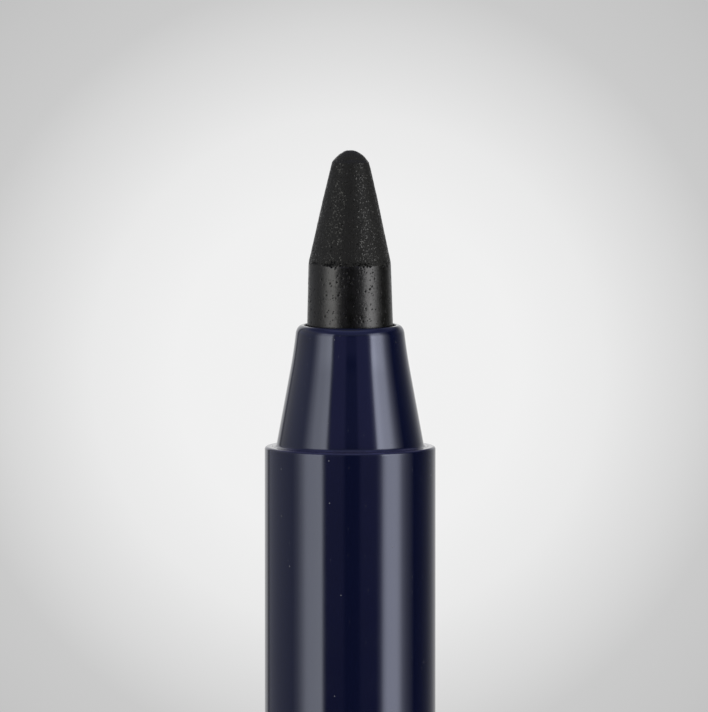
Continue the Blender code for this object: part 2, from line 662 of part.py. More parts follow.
def main():
    clear_scene()
    navy = material("navy_gloss", (0.0085, 0.0095, 0.040), 0.12)
    lead_black = material("lead_black", (0.016, 0.016, 0.016), 0.62)
    inner_white = material("inner_white", (0.78, 0.78, 0.76), 0.45)
    inner_grey = material("inner_grey", (0.22, 0.23, 0.25), 0.45)
    rubber = material("brake_rubber", (0.02, 0.02, 0.02), 0.75)

    barrel_frame = frame_empty("barrel_frame", 0)
    twist_axis = frame_empty("twist_axis", BARREL_FOOT)
    carriage_axis = frame_empty("carriage_axis", MOUTH)

    place(build_barrel(navy), barrel_frame, BARREL_FOOT)
    place(build_nose_cone(navy), barrel_frame, NOSE_FOOT)
    place(build_guide_tube(inner_white), barrel_frame, GUIDE_FOOT)
    place(build_bearing_collar(inner_grey), barrel_frame, COLLAR_FOOT)

    place(build_twist_base(navy), twist_axis, 0)
    place(build_end_plug(navy), twist_axis, PLUG_RECESS)
    place(build_base_core(inner_grey), twist_axis, CORE_FOOT)
    place(build_brake_ring(rubber), twist_axis, COLLAR_FOOT + COLLAR_LENGTH / 2 - BRAKE_RING_RADIUS)
    place(build_helix_sleeve(inner_white), twist_axis, SLEEVE_FOOT)

    lead, lead_foot = build_lead(lead_black)
    place(lead, carriage_axis, lead_foot)
    place(build_lead_cup(inner_grey), carriage_axis, CUP_FOOT)
    place(build_push_rod(inner_white), carriage_axis, ROD_FOOT)


main()
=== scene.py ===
# Looks of the retractable eyeliner pencil: finely turned shells in navy gloss plastic, a grainy black
# lead, and a pale studio. All lengths are in metres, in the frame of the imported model.

import math
import random

import bpy
import numpy as np
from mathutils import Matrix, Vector, noise


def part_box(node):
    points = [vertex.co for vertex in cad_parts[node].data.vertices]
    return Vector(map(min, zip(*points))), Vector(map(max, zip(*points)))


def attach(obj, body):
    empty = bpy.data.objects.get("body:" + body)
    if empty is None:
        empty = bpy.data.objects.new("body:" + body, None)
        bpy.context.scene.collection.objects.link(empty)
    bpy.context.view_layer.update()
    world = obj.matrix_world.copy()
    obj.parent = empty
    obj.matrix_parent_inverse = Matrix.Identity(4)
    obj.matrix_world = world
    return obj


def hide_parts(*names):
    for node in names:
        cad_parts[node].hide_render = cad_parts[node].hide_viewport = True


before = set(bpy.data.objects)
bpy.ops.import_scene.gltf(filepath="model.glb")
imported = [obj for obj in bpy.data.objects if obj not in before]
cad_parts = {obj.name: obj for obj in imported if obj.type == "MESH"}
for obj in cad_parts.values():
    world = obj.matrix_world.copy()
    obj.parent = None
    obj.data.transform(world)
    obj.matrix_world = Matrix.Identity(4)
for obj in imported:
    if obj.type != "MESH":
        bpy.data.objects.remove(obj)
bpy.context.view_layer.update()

MM = 0.001

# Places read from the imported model
BARREL_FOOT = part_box("barrel")[0].z
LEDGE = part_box("barrel")[1].z
SHELL_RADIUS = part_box("barrel")[1].x
NOSE_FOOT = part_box("nose_cone")[0].z
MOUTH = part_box("nose_cone")[1].z
BASE_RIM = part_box("twist_base")[1].z
PLUG_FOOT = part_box("end_plug")[0].z
PLUG_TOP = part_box("end_plug")[1].z
LEAD_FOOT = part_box("lead")[0].z
CUP_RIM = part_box("lead_cup")[1].z
COLLAR_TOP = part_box("bearing_collar")[1].z

# Sizes of the shells
SEAT_BORE = 3.95 * MM  # both ends of the barrel
BARREL_BORE = 3.80 * MM
SEAT_GAP = 0.05 * MM
FLANGE_SEAT_BORE = 4.105 * MM  # shallow seat of the nose's flange in the ledge
FLANGE_SEAT_DEPTH = 0.50 * MM
LEDGE_ROUND = 0.15 * MM
LEDGE_BORE_ROUND = 0.012 * MM
SHELL_END_ROUND = 0.10 * MM
SNAP_DROP = 4.00 * MM  # bead and groove below the ledge
SNAP_HEIGHT = 0.15 * MM
SNAP_HALF = 0.50 * MM
SNAP_GROOVE_HALF = 0.60 * MM
SHANK_RADIUS = 3.85 * MM
SHANK_ROUND = 0.25 * MM
SOCKET_RADIUS = 2.90 * MM
SOCKET_ROOF = 4.00 * MM
NOSE_BORE = 2.42 * MM
NOSE_FOOT_RADIUS = 3.895 * MM
NOSE_KNEE_RADIUS = 2.99 * MM  # above the knee the wall is a little steeper
NOSE_KNEE_DROP = 1.50 * MM
NOSE_KNEE_ROUND = 36.0 * MM
NOSE_FLANGE_RADIUS = 4.10 * MM
NOSE_FLANGE_HEIGHT = 0.006 * MM  # above the ledge
NOSE_FLANGE_ROUND = 0.010 * MM
NOSE_FOOT_FILLET = 0.17 * MM
LIP_SLOPE = 0.141  # of the wall below the lip
LIP_WIDTH = 0.36 * MM
LIP_HEIGHT = 0.54 * MM
LIP_RADIUS = 2.864 * MM
LIP_DROP = 0.005 * MM
LIP_STEPS = 14
FILLET_SHARE = 0.45  # most of a side that a fillet takes up
NOSE_FILLET_SHARE = 0.85
MOUTH_INNER_ROUND = 0.06 * MM
SUPPORT = 0.03 * MM  # extra rings this far from the ends of long sides keep the shading even
LONG_SIDE = 0.30 * MM
BASE_BORE = 3.70 * MM
BASE_FLOOR = 1.60 * MM
BASE_TAIL_ROUND = 0.50 * MM
PLUG_HOLE = 3.00 * MM
PLUG_RADIUS = 2.95 * MM
PLUG_BORE = 2.25 * MM
PLUG_FACE = 0.80 * MM
PLUG_ROUND = 0.15 * MM
PLUG_DIMPLE_RADIUS = 0.70 * MM
PLUG_DIMPLE_DEPTH = 0.18 * MM

# Sizes of the lead
LEAD_RADIUS = 2.26 * MM
LEAD_COLLAR_TOP_RADIUS = 2.17 * MM
LEAD_COLLAR_HEIGHT = 3.24 * MM
LEAD_CONE_HEIGHT = 5.34 * MM
LEAD_KINK_ROUND = 1.60 * MM
LEAD_BELLY_RADIUS = 1.442 * MM  # the cone is a little fuller than a straight one
LEAD_BELLY_HEIGHT = 3.35 * MM
LEAD_BELLY_ROUND = 12.0 * MM
LEAD_SHOULDER_RADIUS = 0.978 * MM
LEAD_SHOULDER_ROUND = 0.16 * MM
LEAD_DOME_HEIGHT = 0.637 * MM
LEAD_FLAT_RADIUS = 0.21 * MM
LEAD_DOME_STEPS = 20
LEAD_ROOT_RADIUS = 1.77 * MM
LEAD_WAIST_DEPTH = 0.15 * MM
LEAD_WAIST_LENGTH = 0.80 * MM
LEAD_BEND = [-0.003 * MM, -0.025 * MM, 0.022 * MM]  # lean to the right at the three heights below
CONE_FOOT = MOUTH + LEAD_COLLAR_HEIGHT
CONE_TOP = CONE_FOOT + LEAD_CONE_HEIGHT
BEND_HEIGHTS = [MOUTH, CONE_FOOT, CONE_TOP]

# Relief of the lead: each layer of grain is (rise, grain size, place in the noise)
GRAIN_FOOT = 0.30 * MM  # above the cup, where the relief starts
CONE_GRAIN = [(0.0050 * MM, 0.10 * MM, 0.0), (0.0060 * MM, 0.19 * MM, 9.1)]
BODY_GRAIN = [(0.0012 * MM, 0.14 * MM, 4.7)]
TIP_GRAIN = [(0.010 * MM, 0.16 * MM, 2.3), (0.012 * MM, 0.34 * MM, 6.5)]
CONE_START = (CONE_FOOT - 0.03 * MM, CONE_FOOT + 0.05 * MM)
TIP_START = (CONE_TOP - 0.10 * MM, CONE_TOP + 0.35 * MM)
WEAR_DEPTH = 0.018 * MM  # the tip is worn a little rounder on its right
WEAR_START = (CONE_TOP - 0.40 * MM, CONE_TOP)
WEAR_END = (CONE_TOP + 0.05 * MM, CONE_TOP + 0.30 * MM)

# Pits in the lead. A size is (least radius, what the largest adds to it).
PIT_SEED = 11
PITS_BELOW_MOUTH = 0.30 * MM
COLLAR_PITS = 620
CONE_PITS = 130
PIT_SIZE = (0.018 * MM, 0.042 * MM)
SMALL_PITS = 3  # power that makes most pits small
FRONT_CLUSTERS = [-151, -126, -119, -112, -97, -80, -71, -63, -30]  # degrees; -90 faces the camera
BACK_CLUSTERS = 7
CLUSTER_PITS = 9
CLUSTER_WIDTH = 0.07  # radians
CLUSTER_RISE = 0.05 * MM  # above the cone's foot
CLUSTER_HEIGHT = 0.07 * MM
CLUSTER_PIT_SIZE = (0.020 * MM, 0.050 * MM)
PIT_DEPTH_SHARE = 0.5  # of its radius
PIT_PROFILE = 1.5
# How far out from a pit's middle its painted shade reaches
PIT_SHADE_SPREAD = 2.2

# Fineness of the meshes
SHELL_SEGMENTS = 192
LEAD_SEGMENTS = 320
LEAD_CONE_STEP = 0.042 * MM
LEAD_COLLAR_STEP = 0.050 * MM
LEAD_HIDDEN_STEP = 0.50 * MM
ARC_STEPS = 10
SHARP_ANGLE = math.radians(28)
FLOOR_RINGS = 24
FLOOR_SEGMENTS = 96

# Finish of the shells. Noises are (scale, detail), spots (grid, radius, share of the cells with one), and
# a span is the part of a noise's values that a ramp spreads out.
WIDE_SPAN = (0.3, 0.7)
NARROW_SPAN = (0.35, 0.65)
NAVY = (0.0029, 0.0040, 0.0168)
# The nose's navy is a little lighter than the barrel's: painted light from above, which its upward-facing
# wall catches.
NOSE_NAVY_WITH_PAINTED_LIGHT = (0.0031, 0.0044, 0.0180)
NAVY_SHARES = (0.92, 1.08)
NAVY_BLOTCH = (260.0, 3.0)
NAVY_TINT = (0.76, 0.80, 1.0, 1.0)  # of its gloss
NAVY_IOR = 1.5
NAVY_ROUGHNESS = (0.080, 0.110)
NAVY_ROUGHNESS_NOISE = (700.0, 4.0)
NAVY_FLOW = (190.0, 1.0)
NAVY_FLOW_HEIGHT = 1.6e-6
DUST = (2.9 * MM, 0.036 * MM, 0.50)
LINT = (0.9 * MM, 0.022 * MM, 0.22)
LINT_SHARE = 0.5
SPECK_TONE = 0.26
SPECK_ROUGHNESS = 0.55
SPECK_HEIGHT = 1.0e-5
# The ledge's film is a lighter navy: partly dust, partly painted light on the ledge's upward face.
DUST_AND_LIGHT_FILM_COLOUR = (0.015, 0.015, 0.045, 1.0)
FILM_NOISE = (3200.0, 3.0)
FILM_SHARES = (0.6, 1.0)
FILM_EDGE = (0.03 * MM, 0.09 * MM)  # distance from the ledge's height

# Finish of the lead: satin on its straight body, matt with glints on its cone
SATIN_TONES = ((0.0004, 0.0004, 0.0001, 1.0), (0.0012, 0.0012, 0.0007, 1.0))
SATIN_TINT = (0.99, 0.98, 0.99, 1.0)
SATIN_ROUGHNESS = (0.26, 0.33)
SATIN_TILT = 0.28
SATIN_GRAIN = 0.03
MATT_TONES = ((0.0072, 0.0071, 0.0066, 1.0), (0.0122, 0.0120, 0.0112, 1.0))
MATT_TINT = (0.24, 0.24, 0.24, 1.0)
MATT_ROUGHNESS = (0.60, 0.44)
MATT_SPAN = (0.35, 0.75)
MATT_TILT = 0.16
MATT_GRAIN = 0.7
GLINT_SHARE = 0.16
GLINT_TINT = (0.60, 0.60, 0.59, 1.0)
GLINT_ROUGHNESS = 0.18
GLINT_TILT = 0.44
TIP_TINT = (0.41, 0.41, 0.25, 1.0)
TIP_HEIGHT = 0.35 * MM
LEAD_IOR = 1.45
GRIT_CELL = 0.056 * MM
EDGE_NOISE = (5000.0, 2.0)
EDGE_WOBBLE = 0.04 * MM
EDGE_BLEND = 0.02 * MM
GRAIN_NOISE = (11000.0, 2.0, 0.6)
GRAIN_HEIGHT = 3.0e-5
CLOUD_NOISE = (1500.0, 3.0)
STREAK_SCALE = (14000.0, 900.0, 1.0)
STREAK_SPAN = (0.7, 1.3)
COLLAR_SPOTS = (0.15 * MM, 0.032 * MM, 0.20)
COLLAR_SPOT_SHARE = 0.7
CONE_SPOTS = (0.12 * MM, 0.045 * MM, 0.40)
CONE_SPOT_SHARE = 0.5
# Pits are painted darker and less glossy than the rest: painted shade in their hollows.
PIT_SHADE_TONE = 0.0015
PIT_SHADE_TINT = 0.14
PIT_ROUGHNESS = 0.8
PIT_BUMP = -0.8e-5

# Finish of the hidden pieces
INNER_WHITE = (0.78, 0.78, 0.76)
INNER_GREY = (0.22, 0.23, 0.25)
INNER_ROUGHNESS = 0.45
BRAKE_BLACK = (0.02, 0.02, 0.02)
BRAKE_ROUGHNESS = 0.75
INNER_MOTTLE = (900.0, 3.0)
INNER_DARK_SHARE = 0.90
INNER_ROUGHNESS_SPREAD = 0.05
INNER_GRAIN = (6000.0, 2.0)
INNER_GRAIN_HEIGHT = 4.0e-6

# The studio as the pencil's gloss shows it: (degrees, radiance, tint). Azimuth is 0 towards the camera
# and grows to the right.
NEUTRAL = (1.0, 1.0, 1.0)
COOL = (0.60, 0.55, 1.0)
HAZE = (0.88, 0.90, 1.0)
WARM = (0.98, 0.98, 0.90)
SKY = (0.57, 0.59, 1.0)
MAX_RADIANCE = 8.0
SOFTBOXES = [
    (-84, 0.0, WARM),
    (-76, 0.48, WARM),
    (-69, 1.48, WARM),
    (-62, 2.95, WARM),
    (-56, 3.50, WARM),
    (-50, 3.80, WARM),
    (-43, 4.15, WARM),
    (-39.5, 4.20, WARM),
    (-36, 0.80, WARM),
    (-32.5, 0.0, WARM),
    (36, 0.0, NEUTRAL),
    (40.5, 0.45, NEUTRAL),
    (43.2, 1.30, NEUTRAL),
    (46.4, 3.45, NEUTRAL),
    (49, 4.35, NEUTRAL),
    (52, 5.10, NEUTRAL),
    (62, 5.05, NEUTRAL),
    (67, 4.70, NEUTRAL),
    (70.5, 3.60, NEUTRAL),
    (75.5, 1.65, NEUTRAL),
    (82, 0.75, NEUTRAL),
    (89, 0.32, NEUTRAL),
    (96, 0.0, NEUTRAL),
]
UPPER_EDGES = [  # both softboxes are brighter along their inner edges, higher up
    (-80, 0.0, NEUTRAL),
    (-72, 0.30, NEUTRAL),
    (-62, 0.10, NEUTRAL),
    (-54, 0.15, NEUTRAL),
    (-46, 0.80, NEUTRAL),
    (-41, 1.00, NEUTRAL),
    (-37, 0.0, NEUTRAL),
    (42, 0.0, NEUTRAL),
    (43.3, 1.10, NEUTRAL),
    (44.7, 3.10, NEUTRAL),
    (46.6, 4.35, NEUTRAL),
    (50, 3.80, NEUTRAL),
    (54.5, 2.35, NEUTRAL),
    (61, 1.30, NEUTRAL),
    (67, 1.10, NEUTRAL),
    (74, 1.35, NEUTRAL),
    (80, 0.50, NEUTRAL),
    (88, 0.0, NEUTRAL),
]
PANELS = [
    (-35.5, 0.0, COOL),
    (-31.5, 0.39, COOL),
    (-10.5, 0.37, COOL),
    (-6, 0.0, COOL),
    (11, 0.0, COOL),
    (15.5, 0.38, COOL),
    (42, 0.41, COOL),
    (47, 0.0, COOL),
]
SLOT = [  # between the panels: dim, and brighter higher up
    (-10.5, 0.0, COOL),
    (-6, 0.36, COOL),
    (11, 0.36, COOL),
    (15.5, 0.0, COOL),
]
SLOT_HEIGHT = [  # by elevation
    (5.5, 0.03, NEUTRAL),
    (10.3, 0.85, NEUTRAL),
    (11.7, 0.50, NEUTRAL),
    (13, 0.12, NEUTRAL),
    (15, 0.0, NEUTRAL),
    (17.5, 0.60, NEUTRAL),
    (21, 1.0, NEUTRAL),
    (24, 1.0, NEUTRAL),
    (37, 0.0, NEUTRAL),
]
WALLS = [
    (-180, 0.88, NEUTRAL),
    (-174, 0.80, NEUTRAL),
    (-155, 0.76, NEUTRAL),
    (-150, 0.66, NEUTRAL),
    (-147, 0.18, NEUTRAL),
    (-143, 0.20, NEUTRAL),
    (-138, 0.50, HAZE),
    (-125, 0.50, HAZE),
    (-100, 0.51, HAZE),
    (-60, 0.46, HAZE),
    (-45, 0.0, HAZE),
    (96, 0.0, NEUTRAL),
    (112, 0.05, NEUTRAL),
    (126, 0.16, NEUTRAL),
    (139, 0.34, NEUTRAL),
    (155, 0.62, NEUTRAL),
    (174, 0.72, NEUTRAL),
    (180, 1.0, NEUTRAL),
]
CEILING = [  # by elevation
    (24, 0.0, SKY),
    (36, 0.58, SKY),
    (56, 0.60, SKY),
    (60, 1.10, SKY),
    (72, 1.10, SKY),
    (77, 0.48, NEUTRAL),
    (90, 0.44, NEUTRAL),
]

# How strong the lights are at different elevations: (from, to) in degrees, some with their two strengths
BOX_FOOT = (-60.0, -20.0, 0.25, 1.0)
BOX_UPPER = (10.5, 15.5, 1.0, 0.79)
BOX_FADE = 13.0
EDGE_START = (-4.0, 10.5)
EDGE_END = (18.0, 24.0)
PANEL_FOOT = (-5.8, -4.8)
PANEL_UPPER = (11.0, 15.5, 1.16, 1.09)
WALL_FOOT = (-5.8, -5.0, 0.80, 1.0)
WALL_START = (-4.0, 16.0)
WALL_UPPER = 1.2
WALL_FADE = 20.0
WALL_LAST = 0.1
LOW_TINT = (-4.6, -3.6, 1.0, 0.0)
HIGH_TINT_START = (4.0, 8.0)
HIGH_TINT_END = (16.5, 19.0, 1.0, 0.0)
OVERHEAD = (30.0, 60.0, 0.0, 0.7)

# The same by azimuth: how high the softboxes and the walls reach, and how strong the ceiling is
BOX_TOP = (-30.0, 30.0, 24.0, 27.0)
WALL_TOP = (-60.0, 60.0, 24.0, 10.0)
CEILING_SIDES = (60.0, 115.0, 1.0, 0.5)

# Floor and the background that the camera sees
FLOOR_RADIUS = 0.55
FLOOR_HOLE = 3.90 * MM
FLOOR_FADE = (0.18, 0.95 * FLOOR_RADIUS)
FLOOR_TONE = 0.85
FLOOR_ROUGHNESS = 0.9
FLOOR_SPECULAR = 0.1
FLOOR_IN_GLOSS = 0.35
BACKDROP = 0.72
GLOW_EDGE = (0.035, 0.075)  # from the glow's middle, as a share of the distance
GLOW = [(0.0, 0.88), (0.33, 0.872), (0.49, 0.818), (0.66, 0.685), (0.76, 0.592), (0.92, 0.555), (1.0, 0.53)]
GLOW_RADIUS_PX = 520
GLOW_DROP_PX = 15  # of its middle below the frame's
GLOW_SHIFT_PX = -7

# The photograph's view
FRAME_WIDTH_PX = 708
FRAME_HEIGHT_PX = 712
PIXEL = 0.05266 * MM  # on the pencil's axis
AXIS_X_PX = 350.15
LEDGE_Y_PX = 446
ELEVATION = math.radians(4.65)
CAMERA_DISTANCE = 1.0
SENSOR = 36.0
CLIP_START = 0.05
CLIP_END = 20.0


# Outlines and meshes


def rounded(corners, most=FILLET_SHARE):
    """Points of an outline whose corners are (radius, height, fillet). A fillet takes up at most that
    share of the sides beside it."""
    points = []
    for i, (r, z, fillet) in enumerate(corners):
        corner = Vector((r, z))
        if not fillet:
            points.append(corner)
            continue
        back = Vector(corners[i - 1][:2]) - corner
        ahead = Vector(corners[(i + 1) % len(corners)][:2]) - corner
        half = back.angle(ahead) / 2
        reach = min(fillet / math.tan(half), most * min(back.length, ahead.length))
        centre = corner + (back.normalized() + ahead.normalized()).normalized() * (reach / math.cos(half))
        start = corner + back.normalized() * reach - centre
        end = corner + ahead.normalized() * reach - centre
        for k in range(ARC_STEPS + 1):
            points.append(centre + start.slerp(end, k / ARC_STEPS) * start.length)
    return points


def turned(name, outline, segments, body, node, finish):
    """A turned piece that stands for a CAD node. Its outline ends on the axis or closes in a ring."""
    points = [(max(p[0], 0.0), p[1]) for p in outline]
    on_axis = points[0][0] == 0 and points[-1][0] == 0
    verts, rings = [], []
    for r, z in points:
        if r == 0:
            rings.append([len(verts)] * segments)
            verts.append((0.0, 0.0, z))
            continue
        rings.append(list(range(len(verts), len(verts) + segments)))
        angles = [math.tau * k / segments for k in range(segments)]
        verts += [(r * math.cos(a), r * math.sin(a), z) for a in angles]
    pairs = list(zip(rings, rings[1:]))
    if not on_axis:
        pairs.append((rings[-1], rings[0]))
    faces = []
    for low, high in pairs:
        for k in range(segments):
            j = (k + 1) % segments
            face = (low[k], low[j], high[j], high[k])
            faces.append(tuple(dict.fromkeys(face)))
    mesh = bpy.data.meshes.new(name)
    mesh.from_pydata(verts, [], faces)
    mesh.shade_smooth()
    mesh.set_sharp_from_angle(angle=SHARP_ANGLE)
    mesh.materials.append(finish)
    obj = bpy.data.objects.new(name, mesh)
    bpy.context.scene.collection.objects.link(obj)
    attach(obj, body)
    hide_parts(node)
    return obj


def supported(points):
    """The same closed outline with a point near both ends of each long side."""
    out = []
    for start, end in zip(points, points[1:] + points[:1]):
        out.append(start)
        side = Vector(end[:2]) - Vector(start[:2])
        if side.length > LONG_SIDE:
            inset = side.normalized() * SUPPORT
            out += [Vector(start[:2]) + inset, Vector(end[:2]) - inset]
    return out


def snap_band(radius, proud, centre, half):
    return [(radius, centre - half, 0), (radius + proud, centre, 0), (radius, centre + half, 0)]


# Materials


class Nodes:
    """Short calls that add nodes to a material's or the world's tree."""

    def __init__(self, tree):
        self.tree = tree

    def add(self, kind, **settings):
        node = self.tree.nodes.new(kind)
        for key, value in settings.items():
            setattr(node, key, value)
        return node

    def link(self, source, target):
        self.tree.links.new(source, target)

    def feed(self, socket, value):
        if isinstance(value, bpy.types.NodeSocket):
            self.link(value, socket)
        else:
            socket.default_value = value

    def math(self, operation, a, b=0.0):
        node = self.add("ShaderNodeMath", operation=operation)
        self.feed(node.inputs[0], a)
        self.feed(node.inputs[1], b)
        return node.outputs[0]

    def vector(self, operation, a, b=None, scale=None):
        node = self.add("ShaderNodeVectorMath", operation=operation)
        self.feed(node.inputs[0], a)
        if b is not None:
            self.feed(node.inputs[1], b)
        if scale is not None:
            self.feed(node.inputs["Scale"], scale)
        return node.outputs["Value" if operation == "LENGTH" else "Vector"]

    def ramp(self, value, low, high, to_low=0.0, to_high=1.0, smooth=True):
        """Value mapped from low..high, held outside it."""
        node = self.add("ShaderNodeMapRange", interpolation_type="SMOOTHSTEP" if smooth else "LINEAR")
        for socket, number in zip(node.inputs, (value, low, high, to_low, to_high)):
            self.feed(socket, number)
        return node.outputs[0]

    def noise(self, vector, scale, detail=2.0, rough=0.5):
        node = self.add("ShaderNodeTexNoise")
        self.link(vector, node.inputs["Vector"])
        node.inputs["Scale"].default_value = scale
        node.inputs["Detail"].default_value = detail
        node.inputs["Roughness"].default_value = rough
        return node.outputs["Fac"]

    def axes(self, vector):
        node = self.add("ShaderNodeSeparateXYZ")
        self.link(vector, node.inputs[0])
        return node.outputs

    def channels(self, colour):
        node = self.add("ShaderNodeSeparateColor")
        self.link(colour, node.inputs[0])
        return node.outputs

    def brightness(self, colour):
        node = self.add("ShaderNodeRGBToBW")
        self.link(colour, node.inputs["Color"])
        return node.outputs["Val"]

    def skin(self, place, radius):
        """Place on a cylinder of that radius, rolled out flat."""
        x, y, z = self.axes(place)
        flat = self.add("ShaderNodeCombineXYZ")
        self.link(self.math("MULTIPLY", self.math("ARCTAN2", y, x), radius), flat.inputs["X"])
        self.link(z, flat.inputs["Y"])
        return flat.outputs[0]

    def spots(self, vector, cell, radius, share, flat=False):
        """Round spots: 1 in the middle, 0 outside the radius, in a share of the cells of a Voronoi grid."""
        cells = self.add("ShaderNodeTexVoronoi", voronoi_dimensions="2D" if flat else "3D")
        self.link(vector, cells.inputs["Vector"])
        cells.inputs["Scale"].default_value = 1 / cell
        inside = self.ramp(cells.outputs["Distance"], radius / cell, 0.0)
        chosen = self.math("LESS_THAN", self.channels(cells.outputs["Color"])[0], share)
        return self.math("MULTIPLY", inside, chosen)

    def grit(self, vector, cell):
        """A random colour for each cell of a fine Voronoi grid, and its last channel."""
        cells = self.add("ShaderNodeTexVoronoi")
        self.link(vector, cells.inputs["Vector"])
        cells.inputs["Scale"].default_value = 1 / cell
        return cells.outputs["Color"], self.channels(cells.outputs["Color"])[2]

    def tipped(self, colour, tilt):
        """The surface's normal, tipped by a random colour."""
        lean = self.vector("SCALE", self.vector("SUBTRACT", colour, (0.5, 0.5, 0.5)), scale=tilt)
        normal = self.add("ShaderNodeNewGeometry").outputs["Normal"]
        return self.vector("NORMALIZE", self.vector("ADD", normal, lean))

    def mix(self, factor, a, b):
        node = self.add("ShaderNodeMix", data_type="RGBA")
        self.feed(node.inputs["Factor"], factor)
        self.feed(node.inputs["A"], a)
        self.feed(node.inputs["B"], b)
        return node.outputs["Result"]

    def stops(self, factor, stops):
        """Colours from stops of (position, colour), even between them."""
        node = self.add("ShaderNodeValToRGB")
        self.link(factor, node.inputs["Fac"])
        elements = node.color_ramp.elements
        while len(elements) < len(stops):
            elements.new(0.5)
        for element, (position, colour) in zip(elements, stops):
            element.position = position
            element.color = colour
        return node.outputs["Color"]

    def bump(self, height, distance, normal=None):
        node = self.add("ShaderNodeBump")
        node.inputs["Strength"].default_value = 1.0
        node.inputs["Distance"].default_value = distance
        self.link(height, node.inputs["Height"])
        if normal:
            self.link(normal, node.inputs["Normal"])
        return node.outputs["Normal"]


def new_material(name):
    made = bpy.data.materials.new(name)
    made.use_nodes = True
    nodes = Nodes(made.node_tree)
    shader = made.node_tree.nodes["Principled BSDF"]
    place = nodes.add("ShaderNodeTexCoord").outputs["Object"]
    return made, nodes, shader, place


def grey(value):
    return (value, value, value, 1.0)


def navy_gloss(name, colour):
    """Near-black navy moulded plastic: a faint flow in its gloss, a few specks of dust, and a lighter film
    in patches on the ledge's top, partly dust and partly painted light on that upward face."""
    made, nodes, shader, place = new_material(name)
    skin = nodes.skin(place, SHELL_RADIUS)
    dust = nodes.spots(skin, *DUST, flat=True)
    lint = nodes.spots(skin, *LINT, flat=True)
    specks = nodes.math("MAXIMUM", dust, nodes.math("MULTIPLY", lint, LINT_SHARE))
    deep, light = (tuple(share * c for c in colour) + (1.0,) for share in NAVY_SHARES)
    blotch = nodes.mix(nodes.noise(place, *NAVY_BLOTCH), deep, light)
    off_ledge = nodes.math("ABSOLUTE", nodes.math("SUBTRACT", nodes.axes(place)["Z"], LEDGE))
    patches = nodes.ramp(nodes.noise(place, *FILM_NOISE), *NARROW_SPAN, *FILM_SHARES)
    # Lighter patches near the ledge's height: partly dust, partly painted light on its upward face.
    dust_and_light_film = nodes.ramp(off_ledge, *FILM_EDGE, patches, 0.0)
    body = nodes.mix(dust_and_light_film, blotch, DUST_AND_LIGHT_FILM_COLOUR)
    nodes.link(nodes.mix(specks, body, grey(SPECK_TONE)), shader.inputs["Base Color"])
    gloss = nodes.ramp(nodes.noise(place, *NAVY_ROUGHNESS_NOISE), *WIDE_SPAN, *NAVY_ROUGHNESS)
    nodes.link(nodes.ramp(specks, 0.0, 1.0, gloss, SPECK_ROUGHNESS), shader.inputs["Roughness"])
    normal = nodes.bump(nodes.noise(place, *NAVY_FLOW), NAVY_FLOW_HEIGHT)
    nodes.link(nodes.bump(specks, SPECK_HEIGHT, normal), shader.inputs["Normal"])
    shader.inputs["IOR"].default_value = NAVY_IOR
    shader.inputs["Specular Tint"].default_value = NAVY_TINT
    return made


